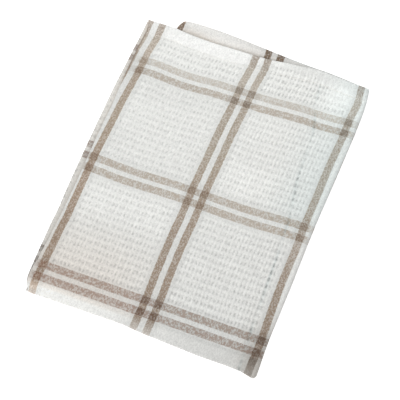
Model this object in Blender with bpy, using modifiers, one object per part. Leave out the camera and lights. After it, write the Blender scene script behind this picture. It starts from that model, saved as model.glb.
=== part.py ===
# Tea towel of waffle-weave cotton, lying folded in four on a flat surface.
#
# The cloth is one sheet. It is folded in half crosswise, which makes the bottom fold,
# and then in half lengthwise, which makes the right fold. Four layers lie on each other:
#   layer 1  the top one
#   layer 2  reaches layer 1 through the bottom fold
#   layer 3  reaches layer 2 through the right fold
#   layer 4  the lowest one, reaches layer 1 through the right fold and layer 3 through
#            the bottom fold
# X runs across the folded towel, Y from the bottom fold to the hems, Z up from the surface.
# All lengths are in metres, and the tables give millimetres.

import math

import bmesh
import bpy

MM = 0.001

# The cloth
CLOTH_THICKNESS = 1.4 * MM
HEM_THICKNESS = 2.0 * MM
HEM_WIDTH = 16 * MM
HEM_EDGE_SOFTNESS = 8 * MM      # over which the hem thins out into the plain cloth
LAYER_PITCH = 2.3 * MM          # between the middles of two layers that lie on each other
LAYERS = 4
TOWEL_COLOUR = (0.80, 0.77, 0.72, 1.0)
TOWEL_ROUGHNESS = 0.9

# Radii of the folds, to the middle of the cloth
BOTTOM_FOLD_RADIUS = LAYER_PITCH / 2
RIGHT_FOLD_MIDDLE_RADIUS = LAYER_PITCH

# How far the cloth's middle stays behind the outline that the folds show
RIGHT_FOLD_REACH = RIGHT_FOLD_MIDDLE_RADIUS + BOTTOM_FOLD_RADIUS + CLOTH_THICKNESS / 2
BOTTOM_FOLD_REACH = BOTTOM_FOLD_RADIUS + CLOTH_THICKNESS / 2

# Faces of the sheet
STEPS_ACROSS_LAYER = 16
STEPS_ALONG_LAYER = 18
STEPS_IN_RIGHT_FOLD = 8
STEPS_IN_BOTTOM_FOLD = 6

# Outline of the layers, in mm. The long edges are read at a fraction of the way from
# the bottom fold (0) to the layer's hem (1).
LEFT_EDGE_OF_LAYER = {
    # along: x of the edge
    1: {0.0: 4.0, 0.02: 1.6, 0.05: 0.9, 0.08: 1.6, 0.125: 2.6, 0.175: 4.6, 0.225: 6.4,
        0.27: 8.3, 0.335: 8.7, 0.4: 9.6, 0.59: 12.0, 0.655: 13.0, 0.735: 14.5, 0.85: 16.7,
        0.93: 17.3, 0.97: 16.6, 1.0: 15.4},
    2: {0.0: 4.0, 0.1: 6.5, 0.25: 11.0, 0.5: 17.0, 0.75: 29.0, 0.9: 41.5, 0.96: 48.2,
        0.985: 50.6, 1.0: 53.5},
    3: {0.0: 3.0, 0.1: 6.5, 0.25: 12.5, 0.5: 20.5, 0.75: 32.0, 0.9: 45.0, 1.0: 55.0},
    4: {0.0: 1.6, 0.02: -0.4, 0.04: -1.4, 0.065: -1.6, 0.125: -1.0, 0.175: -0.1, 0.225: 0.5,
        0.27: 1.7, 0.335: 2.0, 0.4: 2.7, 0.59: 5.5, 0.655: 6.6, 0.735: 8.1, 0.85: 11.2,
        0.93: 13.4, 1.0: 15.3},
}
RIGHT_FOLD_OUTLINE = {
    0.0: 240.6, 0.03: 240.8, 0.06: 240.9, 0.12: 241.8, 0.2: 244.0, 0.3: 246.7, 0.5: 251.5, 0.64: 256.1,
    0.75: 259.6, 0.85: 262.6, 0.93: 264.1, 1.0: 262.9,
}

# The short edges are read at a fraction of the way from the left edge (0) to the
# right fold (1).
BOTTOM_FOLD_OUTLINE = {
    0.0: -23.6, 0.04: -24.2, 0.14: -24.2, 0.22: -23.7, 0.3: -23.5, 0.45: -23.5, 0.54: -25.2,
    0.67: -26.5, 0.78: -27.4, 0.89: -27.2, 0.956: -27.8, 1.0: -30.0,
}
HEM_OF_LAYER = {
    # across: y of the hem's edge
    1: {0.0: 288.8, 0.14: 287.3, 0.3: 285.9, 0.41: 285.9, 0.5: 287.8, 0.62: 288.0,
        0.7: 289.8, 0.8: 291.7, 0.88: 290.3, 1.0: 287.0},
    2: {0.0: 298.8, 0.02: 300.2, 0.06: 300.8, 0.13: 300.9, 0.23: 300.2, 0.37: 298.0, 0.54: 295.0,
        0.71: 293.0, 0.78: 292.8, 0.93: 290.0, 1.0: 287.0},
    3: {0.0: 299.0, 0.13: 300.0, 0.37: 297.3, 0.71: 292.3, 1.0: 287.5},
    4: {0.0: 287.0, 0.5: 286.0, 1.0: 287.0},
}

# The corner between the two folds is round
CORNER_ROUNDING = 2.0 * MM
CORNER_DEPTH = 14.0 * MM
ROUNDING_POWER = 4              # keeps the rounding on the outer side of the right fold
DEPTH_POWER = 2                 # makes it fade softly away from the bottom fold

# Where layers 2 and 3 end short of the left edge, layer 1 comes down onto layer 4
LEFT_FALL_START = 8 * MM        # inside the edge of layer 2
LEFT_FALL_WIDTH = 44 * MM
LEFT_FALL_CLEAR_OF_FOLD = 0.2   # fraction of the way along where the fall has begun
# Where layers 2 and 3 reach past the hem of layer 4, they come down almost by one layer
HEM_FALL_START = 286.0 * MM
HEM_FALL_WIDTH = 15.0 * MM
HEM_FALL = LAYER_PITCH - 0.6 * MM

# Soft unevenness of the upper layers: height in mm, wave length in mm along X and
# along Y, and phase in degrees. The lowest layer stays flat.
WAVES = (
    {"height": 0.35, "across": 210.0, "along": 420.0, "phase": 20.0},
    {"height": 0.25, "across": -130.0, "along": 170.0, "phase": 75.0},
    {"height": 0.15, "across": 95.0, "along": -88.0, "phase": 140.0},
)

TOP_LAYER_HEIGHT = (LAYERS - 1) * LAYER_PITCH
HALF_TURN = 0.5                 # half of a fold, where one layer ends and the next begins


def smooth_step(value):
    """Ease from 0 to 1."""
    value = min(max(value, 0.0), 1.0)
    return value * value * (3.0 - 2.0 * value)


def read_table(table, position):
    """Smooth curve through the rows of a table, in metres."""
    places = sorted(table)
    position = min(max(position, places[0]), places[-1])
    index = max(i for i, place in enumerate(places[:-1]) if place <= position)

    def slope(i):
        low, high = max(i - 1, 0), min(i + 1, len(places) - 1)
        return (table[places[high]] - table[places[low]]) / (places[high] - places[low])

    start, end = places[index], places[index + 1]
    span = end - start
    t = (position - start) / span
    value = (
        (2 * t**3 - 3 * t**2 + 1) * table[start]
        + (t**3 - 2 * t**2 + t) * span * slope(index)
        + (3 * t**2 - 2 * t**3) * table[end]
        + (t**3 - t**2) * span * slope(index + 1)
    )
    return value * MM


def stations(steps_in_layer, steps_in_fold):
    """Places along the cloth: (fraction of the way to the fold, turn in the fold).

    The first layer runs towards the fold, the turn goes from 0 to 1, and the second
    layer runs back. Places lie closer to each other near the edges and the folds.
    """
    towards = [(1 - math.cos(math.pi * i / steps_in_layer)) / 2 for i in range(steps_in_layer + 1)]
    there = [(fraction, 0.0) for fraction in towards]
    around = [(1.0, i / steps_in_fold) for i in range(1, steps_in_fold)]
    back = [(fraction, 1.0) for fraction in reversed(towards)]
    return there + around + back


def layer_at(right_turn, bottom_turn):
    """Number of the layer on this side of both folds."""
    if right_turn < HALF_TURN:
        return 1 if bottom_turn < HALF_TURN else 2
    return 4 if bottom_turn < HALF_TURN else 3


def unevenness(x, y):
    """Height of the soft waves at a place of the folded towel."""
    total = 0.0
    for wave in WAVES:
        angle = 2 * math.pi * (x / wave["across"] + y / wave["along"]) / MM
        total += wave["height"] * MM * math.sin(angle + math.radians(wave["phase"]))
    return total


def fall(layer, x, y, along):
    """How far a layer comes down where the layers under it end."""
    if layer == 1:
        edge_below = read_table(LEFT_EDGE_OF_LAYER[2], along)
        beside = smooth_step((edge_below + LEFT_FALL_START - x) / LEFT_FALL_WIDTH)
        return 2 * LAYER_PITCH * beside * smooth_step(along / LEFT_FALL_CLEAR_OF_FOLD)
    if layer in (2, 3):
        return HEM_FALL * smooth_step((y - HEM_FALL_START) / HEM_FALL_WIDTH)
    return 0.0


def hem_share(distance_from_hem_edge):
    """1 in the turned hem, 0 in the plain cloth."""
    start = HEM_WIDTH - HEM_EDGE_SOFTNESS / 2
    return 1.0 - smooth_step((distance_from_hem_edge - start) / HEM_EDGE_SOFTNESS)


def folded_place(across, right_turn, along, bottom_turn):
    """Where a point of the sheet's middle lies, and how much of it is hem."""
    layer = layer_at(right_turn, bottom_turn)
    left = read_table(LEFT_EDGE_OF_LAYER[layer], along)
    right = read_table(RIGHT_FOLD_OUTLINE, along) - RIGHT_FOLD_REACH
    bottom = read_table(BOTTOM_FOLD_OUTLINE, across) + BOTTOM_FOLD_REACH
    hem_edge = read_table(HEM_OF_LAYER[layer], across)

    x = left + (right - left) * across
    y = bottom + (hem_edge - bottom) * along
    hem = hem_share(hem_edge - y)

    # the bottom fold turns down, the right fold then turns both layers under
    above_middle = BOTTOM_FOLD_RADIUS * math.cos(math.pi * bottom_turn)
    radius = RIGHT_FOLD_MIDDLE_RADIUS + above_middle
    height = TOP_LAYER_HEIGHT / 2 + radius * math.cos(math.pi * right_turn)
    round_corner = CORNER_ROUNDING * math.sin(math.pi * right_turn) ** ROUNDING_POWER
    near_corner = max(0.0, 1.0 - (y - bottom) / CORNER_DEPTH) ** DEPTH_POWER
    x += radius * math.sin(math.pi * right_turn)
    y += round_corner * near_corner - BOTTOM_FOLD_RADIUS * math.sin(math.pi * bottom_turn)

    height += unevenness(x, y) * height / TOP_LAYER_HEIGHT
    height -= fall(layer, x, y, along)
    if layer == 4:
        height += hem * (HEM_THICKNESS - CLOTH_THICKNESS) / 2
    return (x, y, height + CLOTH_THICKNESS / 2), hem


def make_cloth_material():
    """Off-white cotton."""
    material = bpy.data.materials.new("waffle_cotton")
    material.use_nodes = True
    shader = material.node_tree.nodes["Principled BSDF"]
    shader.inputs["Base Color"].default_value = TOWEL_COLOUR
    shader.inputs["Roughness"].default_value = TOWEL_ROUGHNESS
    shader.inputs["Metallic"].default_value = 0.0
    return material


def make_folded_sheet(name):
    """The cloth as an open surface in four layers, with a vertex group for its hems."""
    columns = stations(STEPS_ACROSS_LAYER, STEPS_IN_RIGHT_FOLD)
    rows = stations(STEPS_ALONG_LAYER, STEPS_IN_BOTTOM_FOLD)
    last_column, last_row = len(columns) - 1, len(rows) - 1

    grid = bmesh.new()
    bmesh.ops.create_grid(grid, x_segments=last_column, y_segments=last_row, size=1.0)
    hems = []
    for vertex in grid.verts:
        across, right_turn = columns[round((vertex.co.x + 1) / 2 * last_column)]
        towards_fold, bottom_turn = rows[round((1 - vertex.co.y) / 2 * last_row)]
        vertex.co, hem = folded_place(across, right_turn, 1 - towards_fold, bottom_turn)
        hems.append(hem)

    mesh = bpy.data.meshes.new(name)
    grid.to_mesh(mesh)
    grid.free()
    sheet = bpy.data.objects.new(name, mesh)
    hem_group = sheet.vertex_groups.new(name="hem")
    for index, hem in enumerate(hems):
        hem_group.add([index], hem, "REPLACE")
    return sheet


def give_thickness(sheet):
    """Solidify the open surface evenly to both sides, thicker at the hems."""
    solidify = sheet.modifiers.new("cloth_thickness", "SOLIDIFY")
    solidify.thickness = HEM_THICKNESS
    solidify.offset = 0.0
    solidify.vertex_group = "hem"
    solidify.thickness_vertex_group = CLOTH_THICKNESS / HEM_THICKNESS


def centre_on_origin(sheet):
    """Move the sheet so that the middle of its bottom lies on the origin."""
    evaluated = sheet.evaluated_get(bpy.context.evaluated_depsgraph_get())
    places = [vertex.co.copy() for vertex in evaluated.data.vertices]
    middle_x = (min(p.x for p in places) + max(p.x for p in places)) / 2
    middle_y = (min(p.y for p in places) + max(p.y for p in places)) / 2
    lowest = min(p.z for p in places)
    for vertex in sheet.data.vertices:
        vertex.co.x -= middle_x
        vertex.co.y -= middle_y
        vertex.co.z -= lowest


def build():
    """Clear the scene and make the folded towel."""
    for old in list(bpy.data.objects):
        bpy.data.objects.remove(old)
    towel = bpy.data.collections.new("tea_towel")
    bpy.context.scene.collection.children.link(towel)

    cloth = make_folded_sheet("towel_cloth")
    towel.objects.link(cloth)
    cloth.data.materials.append(make_cloth_material())
    give_thickness(cloth)
    centre_on_origin(cloth)
    cloth.data.shade_smooth()


build()
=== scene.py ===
# %% [markdown]
# # A folded tea towel, from sheet to finished cloth
#
# The object is a waffle-weave kitchen towel with a brown check. It lies folded in
# four, so one sheet makes four layers with two folds. This script dresses the packed
# model: it weaves the waffle into the sheet, sews the hem, colours the check, and sets
# a floor, light and camera.

# %% Load the frame
import math

import bmesh
import bpy
import numpy as np
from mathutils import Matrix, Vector


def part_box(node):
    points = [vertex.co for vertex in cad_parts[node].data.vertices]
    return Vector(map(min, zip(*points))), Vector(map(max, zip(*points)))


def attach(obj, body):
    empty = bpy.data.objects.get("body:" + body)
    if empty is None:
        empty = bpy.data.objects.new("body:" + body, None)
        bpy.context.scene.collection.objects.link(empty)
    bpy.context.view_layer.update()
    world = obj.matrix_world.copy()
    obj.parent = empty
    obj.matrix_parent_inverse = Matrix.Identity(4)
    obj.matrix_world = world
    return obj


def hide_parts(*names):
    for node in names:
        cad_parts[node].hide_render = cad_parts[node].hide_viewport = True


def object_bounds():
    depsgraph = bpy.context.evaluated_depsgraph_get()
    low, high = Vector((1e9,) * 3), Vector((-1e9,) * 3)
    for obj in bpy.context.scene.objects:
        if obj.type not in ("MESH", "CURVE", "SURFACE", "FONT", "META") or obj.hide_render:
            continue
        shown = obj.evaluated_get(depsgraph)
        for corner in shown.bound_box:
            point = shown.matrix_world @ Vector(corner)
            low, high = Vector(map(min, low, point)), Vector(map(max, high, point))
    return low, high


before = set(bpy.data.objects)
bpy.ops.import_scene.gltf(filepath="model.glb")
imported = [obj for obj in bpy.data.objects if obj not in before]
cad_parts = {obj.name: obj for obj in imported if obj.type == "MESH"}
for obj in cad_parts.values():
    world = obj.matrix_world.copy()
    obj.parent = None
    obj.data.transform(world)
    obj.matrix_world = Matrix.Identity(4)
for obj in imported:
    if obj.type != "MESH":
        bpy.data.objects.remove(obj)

CAD_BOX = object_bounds()
NODE_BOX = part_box("towel_cloth")
MM = 0.001
print("box of the packed model:", CAD_BOX)

# %% [markdown]
# ## The folded outline
#
# A folded towel is never a neat rectangle. Its edges lean, its hems wander, and the
# layers end at different places. A cloth simulation could fold a flat sheet, but the
# outcome is hard to steer. Here every edge is a short table instead, which a smooth
# curve runs through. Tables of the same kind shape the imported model. Only the hem and
# the left edge of the top layer lie a few millimetres further in here.
#
# Layer 1 is on top, layer 2 lies under it beyond the bottom fold, and the right fold
# leads on to layer 4 at the very bottom, with layer 3 inside. Lengths in the tables are
# millimetres on the table top, with X across the towel and Y from the bottom fold to
# the hems.

# %% Cloth and fold sizes
CLOTH_THICKNESS = 1.4
HEM_THICKNESS = 2.0
HEM_WIDTH = 16.0
HEM_EDGE_SOFTNESS = 8.0
LAYER_PITCH = 2.3
TOP_LAYER_HEIGHT = 3 * LAYER_PITCH
BOTTOM_FOLD_RADIUS = LAYER_PITCH / 2
RIGHT_FOLD_RADIUS = LAYER_PITCH
RIGHT_FOLD_REACH = RIGHT_FOLD_RADIUS + BOTTOM_FOLD_RADIUS + CLOTH_THICKNESS / 2
BOTTOM_FOLD_REACH = BOTTOM_FOLD_RADIUS + CLOTH_THICKNESS / 2
print("four layers are", round(TOP_LAYER_HEIGHT + CLOTH_THICKNESS, 1), "mm high")

# %% Outline tables
# The long edges are read at a fraction of the way from the bottom fold (0) to the hem (1).
LEFT_EDGE_OF_LAYER = {
    1: {0.0: 5.5, 0.02: 2.2, 0.05: 1.6, 0.08: 2.6, 0.1: 4.0, 0.125: 4.4, 0.14: 5.0, 0.175: 6.2,
        0.205: 7.0, 0.27: 8.7, 0.317: 9.5, 0.36: 10.3, 0.4: 10.8, 0.49: 11.8, 0.54: 12.3,
        0.59: 13.1, 0.64: 14.2, 0.685: 14.7, 0.735: 14.8, 0.8: 15.2, 0.86: 16.2, 0.905: 16.9,
        0.945: 18.1, 0.965: 18.5, 0.985: 17.5, 1.0: 15.8},
    2: {0.0: 4.0, 0.1: 6.5, 0.25: 11.0, 0.5: 17.0, 0.75: 29.0, 0.9: 41.5, 0.96: 48.2,
        0.985: 50.6, 1.0: 53.5},
    3: {0.0: 3.0, 0.1: 6.5, 0.25: 12.5, 0.5: 20.5, 0.75: 32.0, 0.9: 45.0, 1.0: 55.0},
    4: {0.0: 4.0, 0.02: 0.2, 0.04: -1.2, 0.065: -1.2, 0.125: -0.7, 0.175: -0.1, 0.225: 0.5,
        0.27: 1.7, 0.335: 2.0, 0.4: 2.7, 0.59: 5.5, 0.655: 6.6, 0.735: 8.1, 0.85: 11.2,
        0.93: 13.4, 1.0: 15.3},
}
RIGHT_FOLD_OUTLINE = {
    0.0: 240.6, 0.03: 240.8, 0.06: 240.9, 0.12: 241.8, 0.2: 244.0, 0.3: 246.7, 0.5: 251.5,
    0.64: 256.1, 0.75: 259.6, 0.85: 262.6, 0.93: 264.1, 1.0: 262.9,
}

# The short edges are read at a fraction of the way from the left edge (0) to the right fold (1).
BOTTOM_FOLD_OUTLINE = {
    0.0: -23.6, 0.04: -24.2, 0.14: -24.2, 0.22: -23.7, 0.3: -23.5, 0.45: -23.5, 0.54: -25.2,
    0.67: -26.5, 0.78: -27.4, 0.89: -27.2, 0.956: -27.8, 1.0: -30.0,
}
HEM_OF_LAYER = {
    1: {0.0: 288.8, 0.1: 287.7, 0.14: 286.6, 0.18: 285.0, 0.24: 283.7, 0.3: 282.9, 0.36: 283.0,
        0.44: 283.5, 0.52: 284.0, 0.58: 284.9, 0.64: 286.7, 0.7: 288.0, 0.785: 289.9,
        0.87: 289.0, 0.93: 287.9, 1.0: 287.0},
    2: {0.0: 298.8, 0.02: 300.2, 0.06: 300.8, 0.13: 300.9, 0.23: 300.2, 0.37: 298.0, 0.54: 295.0,
        0.71: 292.3, 0.78: 291.9, 0.93: 289.3, 1.0: 287.0},
    3: {0.0: 299.0, 0.13: 300.0, 0.37: 297.3, 0.71: 292.3, 1.0: 287.5},
    4: {0.0: 287.0, 0.5: 286.0, 1.0: 287.0},
}
CORNER_ROUNDING = 2.0
CORNER_DEPTH = 14.0
CORNER_NARROWNESS = 4          # above 1 only the middle of the turn is rounded
CORNER_FADE = 2                # above 1 the rounding ends softly

# Where layers 2 and 3 end short of the left edge, layer 1 comes down onto layer 4.
LEFT_FALL_START = 8.0
LEFT_FALL_WIDTH = 44.0
LEFT_FALL_CLEAR_OF_FOLD = 0.2
HEM_FALL_START = 286.0
HEM_FALL_WIDTH = 15.0
HEM_FALL = LAYER_PITCH - (HEM_THICKNESS - CLOTH_THICKNESS)

# Soft waves of the upper layers: height, wave length along X and along Y, phase in degrees
WAVES = (
    {"height": 0.35, "across": 210.0, "along": 420.0, "phase": 20.0},
    {"height": 0.25, "across": -130.0, "along": 170.0, "phase": 75.0},
    {"height": 0.15, "across": 95.0, "along": -88.0, "phase": 140.0},
)
print("the waves lift the top layer by up to", sum(wave["height"] for wave in WAVES), "mm")


# %% Read a table at many places at once
def read_table(table, position):
    """Smooth curve through the rows of a table."""
    places = np.array(sorted(table))
    values = np.array([table[place] for place in places])
    rows = np.arange(len(places))
    before = np.maximum(rows - 1, 0)
    after = np.minimum(rows + 1, len(places) - 1)
    slopes = (values[after] - values[before]) / (places[after] - places[before])

    position = np.clip(position, places[0], places[-1])
    row = np.clip(np.searchsorted(places, position, side="right") - 1, 0, len(places) - 2)
    span = places[row + 1] - places[row]
    part = (position - places[row]) / span
    return (
        (2 * part**3 - 3 * part**2 + 1) * values[row]
        + (part**3 - 2 * part**2 + part) * span * slopes[row]
        + (3 * part**2 - 2 * part**3) * values[row + 1]
        + (part**3 - part**2) * span * slopes[row + 1]
    )


def ease(value):
    """Ease from 0 to 1."""
    value = np.clip(value, 0.0, 1.0)
    return value * value * (3.0 - 2.0 * value)


def hump(distance, half_width):
    """1 in the middle, falling softly to 0."""
    return np.exp(-((distance / half_width) ** 2))


print("layer 1 is", float(read_table(HEM_OF_LAYER[1], 0.5)), "mm long at its middle")

# %% [markdown]
# ## The woven pattern
#
# A towel's check is woven in, so it belongs to the flat cloth: pairs of stripes at a
# steady distance, with waffle squares between them. Once folded, the cloth leans and
# sags a little, and every stripe bends with it. The pattern gets coordinates of its own,
# in millimetres of flat cloth: `weft_place` across the towel and `warp_place` along it.
# A few small tables say how far the lying cloth departs from a straight grid.

# %% Sizes of the check
CHECK_ACROSS = 118.0
CHECK_ALONG = 117.7
PAIR_ACROSS = 13.25            # between the middles of the two stripes of a pair
PAIR_ALONG = 12.05
STRIPE_WIDTH = 7.5
WAFFLE_ACROSS = 7.6            # size of a waffle cell
WAFFLE_ALONG = 7.16
CELLS_ACROSS = 12              # in a square of the check
CELLS_ALONG = 13
SQUARE_LEFT = 19.5             # from the first stripe's middle to the first cell
SQUARE_BOTTOM = 18.4
LOW_ROWS_SHIFT = -1.5          # the lower squares sit a little closer to their stripes
print("a square has", CELLS_ACROSS * CELLS_ALONG, "waffle cells")

# %% How the lying cloth departs from a straight grid
# Lean of the cloth to the right, by Y
LEAN = {-25: -8.9, -15: -8.1, 6: -6.4, 39: -5.4, 69: -3.9, 98: -1.3, 125: 0.0, 162: 3.3,
        192: 5.8, 222: 9.5, 240: 11.0, 251: 11.9, 261: 13.7, 271: 15.3, 286: 16.0}
# Place of a stripe on the table top less its place in the pattern, by place in the pattern
SIDE_SHIFT = {13.25: 4.7, 118.0: 5.5, 131.25: 5.6, 236.0: 4.5}
PATTERN_START = -6.6           # Y of the lowest stripe's middle
# Sag of the top pair of stripes and of the middle pair, by X
TOP_SAG = {18: -0.1, 42: 0.2, 77: -1.9, 111: -0.4, 161: -0.4, 205: 2.0, 230: 1.9, 251: 3.1}
MIDDLE_SAG = {15: 1.2, 58: -0.5, 110: 0.5, 180: -0.8, 230: 1.2}
MIDDLE_PAIR = 124.0
TOP_PAIR = 241.5
# The last stretch before the hem is pulled to the left, most at the right side
HEM_PULL = {225: 0.0, 257: -2.6}
HEM_PULL_START = 262.0
HEM_PULL_WIDTH = 22.0
# The stripes beside the left edge bend with it, by Y
LEFT_BEND = {-22: 1.0, -14: -0.6, 0: -0.6, 14: -0.5, 30: 0.5, 45: 0.9, 60: 1.8, 72: 1.2, 85: 0.7,
             100: 0.0, 230: 0.0, 262: -0.4, 280: -0.9}
LEFT_BEND_END = 60.0
LEFT_BEND_WIDTH = 40.0


def sag(x, warp_place):
    """How far the cloth lies above its straight place."""
    span = TOP_PAIR - MIDDLE_PAIR
    top_share = np.clip((warp_place - MIDDLE_PAIR) / span, 0.0, 1.0)
    middle_share = np.clip(1.0 - np.abs(warp_place - MIDDLE_PAIR) / span, 0.0, 1.0)
    return top_share * read_table(TOP_SAG, x) + middle_share * read_table(MIDDLE_SAG, x)


def side_pull(x, y):
    """How far the cloth lies to the right of its straight place, near the hem and the left side."""
    before_hem = read_table(HEM_PULL, x) * ease((y - HEM_PULL_START) / HEM_PULL_WIDTH)
    return before_hem + read_table(LEFT_BEND, y) * ease((LEFT_BEND_END - x) / LEFT_BEND_WIDTH)


def place_on_table(weft_place, warp_place, x, y):
    """X and Y of a point of the pattern on layer 1, from a first guess of both."""
    new_x = weft_place + read_table(SIDE_SHIFT, weft_place) + read_table(LEAN, y) + side_pull(x, y)
    new_y = warp_place + PATTERN_START + sag(x, warp_place)
    return new_x, new_y


def place_in_pattern(x, y):
    """The pattern's point that lies at a place of layer 1."""
    weft_place = x - read_table(LEAN, y) - side_pull(x, y)
    weft_place = weft_place - read_table(SIDE_SHIFT, weft_place - SIDE_SHIFT[118.0])
    warp_place = y - PATTERN_START
    warp_place = warp_place - sag(x, warp_place)
    return weft_place, warp_place


# %% [markdown]
# ## A mesh that follows the weave
#
# Waffle weave has raised threads around small sunk cells. A displacement texture on an
# even grid would cut across the cells, so the mesh's own rows and columns follow the
# cell borders: eight columns and five rows a cell. Plain stretches, the folds and the
# hidden layers have wider faces, which keeps the count low. Towards the outer edges the
# lines blend over into the cloth's real edge.

# %% Lines of the mesh across the cloth
COLUMNS_IN_CELL = (0.0, 0.12, 0.25, 0.38, 0.5, 0.62, 0.75, 0.88)
ROWS_IN_CELL = (0.0, 0.2, 0.38, 0.6, 0.82)
LEFT_COLUMNS = (0.0, 0.025, 0.06, 0.12, 0.21, 0.32, 0.44, 0.57, 0.71, 0.86)
RIGHT_COLUMNS = 5
RIGHT_FOLD_COLUMNS = 7
UNDER_COLUMNS = 11
UNDER_CROWDING = 1.25           # above 1 the hidden columns crowd towards the right fold
UNDER_EDGE_COLUMNS = (10.0, 7.2, 5.2, 3.6, 2.2, 1.1, 0.4, 0.0)    # mm from the left edge
PLAIN_STEPS = 9
HEM_ROWS = (0.0, 0.4, 1.1, 2.6, 5.0, 8.0, 10.5, 12.8, 14.2, 15.0, 15.8, 17.4, 20.0)
STITCH_INSET = 15.0
BELOW_ROWS = 10                 # between the lowest cells and the bottom fold
BOTTOM_FOLD_ROWS = 7
UNDER_ROWS = 6
TOP_ROWS_OF_CELLS = 2
FITTING_PASSES = 12             # edges and woven places depend on each other
FOLDED_WIDTH = 250.0            # roughly, for the hidden layers' lines
FOLDED_LENGTH = 310.0


def cell_lines(start, count, pitch, fractions):
    """Lines of the mesh through a run of waffle cells."""
    return [start + (cell + fraction) * pitch for cell in range(count) for fraction in fractions]


def plain_lines(start, end, steps):
    """Evenly spaced lines, without the last one."""
    return [start + (end - start) * step / steps for step in range(steps)]


square_width = CELLS_ACROSS * WAFFLE_ACROSS
square_height = CELLS_ALONG * WAFFLE_ALONG
woven_columns = (
    cell_lines(SQUARE_LEFT, CELLS_ACROSS, WAFFLE_ACROSS, COLUMNS_IN_CELL)
    + plain_lines(SQUARE_LEFT + square_width, SQUARE_LEFT + CHECK_ACROSS, PLAIN_STEPS)
    + cell_lines(SQUARE_LEFT + CHECK_ACROSS, CELLS_ACROSS, WAFFLE_ACROSS, COLUMNS_IN_CELL)
    + [SQUARE_LEFT + CHECK_ACROSS + square_width]
)
low_rows_start = SQUARE_BOTTOM + LOW_ROWS_SHIFT
top_rows_start = SQUARE_BOTTOM + 2 * CHECK_ALONG
woven_rows = (
    cell_lines(low_rows_start, CELLS_ALONG, WAFFLE_ALONG, ROWS_IN_CELL)
    + plain_lines(low_rows_start + square_height, SQUARE_BOTTOM + CHECK_ALONG, PLAIN_STEPS)
    + cell_lines(SQUARE_BOTTOM + CHECK_ALONG, CELLS_ALONG, WAFFLE_ALONG, ROWS_IN_CELL)
    + plain_lines(SQUARE_BOTTOM + CHECK_ALONG + square_height, top_rows_start, PLAIN_STEPS)
    + cell_lines(top_rows_start, TOP_ROWS_OF_CELLS, WAFFLE_ALONG, ROWS_IN_CELL)
)
woven_rows = np.array(woven_rows[::-1])
woven_columns = np.array(woven_columns)
print(len(woven_columns), "woven columns and", len(woven_rows), "woven rows on the top layer")


# %% Layer 1: fractions of the way for every row and column
def lay_top_layer():
    """Fractions across and along for the mesh lines of layer 1, hem row first."""
    left_count, woven_count = len(LEFT_COLUMNS), len(woven_columns)
    hem_count, row_count = len(HEM_ROWS), len(woven_rows)
    columns = left_count + woven_count + RIGHT_COLUMNS
    rows = hem_count + row_count + BELOW_ROWS
    first, last = left_count, left_count + woven_count - 1
    top, bottom = hem_count, hem_count + row_count - 1

    across = np.tile(np.linspace(0.0, 1.0, columns), (rows, 1))
    along = np.tile(np.linspace(1.0, 0.0, rows)[:, None], (1, columns))
    left_share = np.array(LEFT_COLUMNS)
    right_share = np.arange(1, RIGHT_COLUMNS + 1) / RIGHT_COLUMNS
    below_share = np.arange(1, BELOW_ROWS + 1)[:, None] / BELOW_ROWS
    for _ in range(FITTING_PASSES):
        left = read_table(LEFT_EDGE_OF_LAYER[1], along)
        width = read_table(RIGHT_FOLD_OUTLINE, along) - RIGHT_FOLD_REACH - left
        fold = read_table(BOTTOM_FOLD_OUTLINE, across) + BOTTOM_FOLD_REACH
        length = read_table(HEM_OF_LAYER[1], across) - fold
        x = left + width * across
        y = fold + length * along
        woven = slice(first, last + 1)
        cells = slice(top, bottom + 1)
        new_x, _ = place_on_table(woven_columns[None, :], 0.0, x[:, woven], y[:, woven])
        _, new_y = place_on_table(0.0, woven_rows[:, None], x[cells], y[cells])
        across[:, woven] = (new_x - left[:, woven]) / width[:, woven]
        across[:, :first] = left_share * across[:, first:first + 1]
        across[:, last + 1:] = across[:, last:last + 1] * (1 - right_share) + right_share
        along[cells] = (new_y - fold[cells]) / length[cells]
        along[:top] = 1.0 - np.array(HEM_ROWS)[:, None] / length[:top]
        along[bottom + 1:] = along[bottom:bottom + 1] * (1 - below_share)
    return across, along


top_across, top_along = lay_top_layer()
print("layer 1 has", top_across.shape, "rows and columns")


# %% The other layers and both folds
def lay_whole_sheet():
    """Fractions across and along, and turns of both folds, for the whole sheet."""
    fold_turn = np.arange(1, RIGHT_FOLD_COLUMNS + 1) / RIGHT_FOLD_COLUMNS
    under_edge = np.array(UNDER_EDGE_COLUMNS) / FOLDED_WIDTH
    under_across = 1.0 - (np.arange(1, UNDER_COLUMNS) / UNDER_COLUMNS) ** UNDER_CROWDING
    under_across = np.concatenate([under_across, under_edge])
    bottom_turn = np.arange(1, BOTTOM_FOLD_ROWS + 1) / BOTTOM_FOLD_ROWS
    hem_along = 1.0 - np.array(HEM_ROWS[::-1]) / FOLDED_LENGTH
    under_along = np.arange(1, UNDER_ROWS) / UNDER_ROWS * hem_along[0]
    under_along = np.concatenate([under_along, hem_along])

    rows = len(top_across) + len(bottom_turn) + len(under_along)
    columns = top_across.shape[1] + len(fold_turn) + len(under_across)
    across = np.ones((rows, columns))
    along = np.zeros((rows, columns))
    right = np.zeros((rows, columns))
    bottom = np.zeros((rows, columns))

    side = top_across.shape[1]
    front = len(top_across)
    turned = front + len(bottom_turn)
    across[:front, :side] = top_across
    across[front:, :side] = top_across[-1]
    across[:, side + len(fold_turn):] = under_across
    along[:front, :side] = top_along
    along[:front, side:] = top_along[:, -1:]
    along[turned:] = under_along[:, None]
    right[:, side:] = 1.0
    right[:, side:side + len(fold_turn)] = fold_turn
    bottom[front:] = 1.0
    bottom[front:turned] = bottom_turn[:, None]
    return across, right, along, bottom


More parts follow.
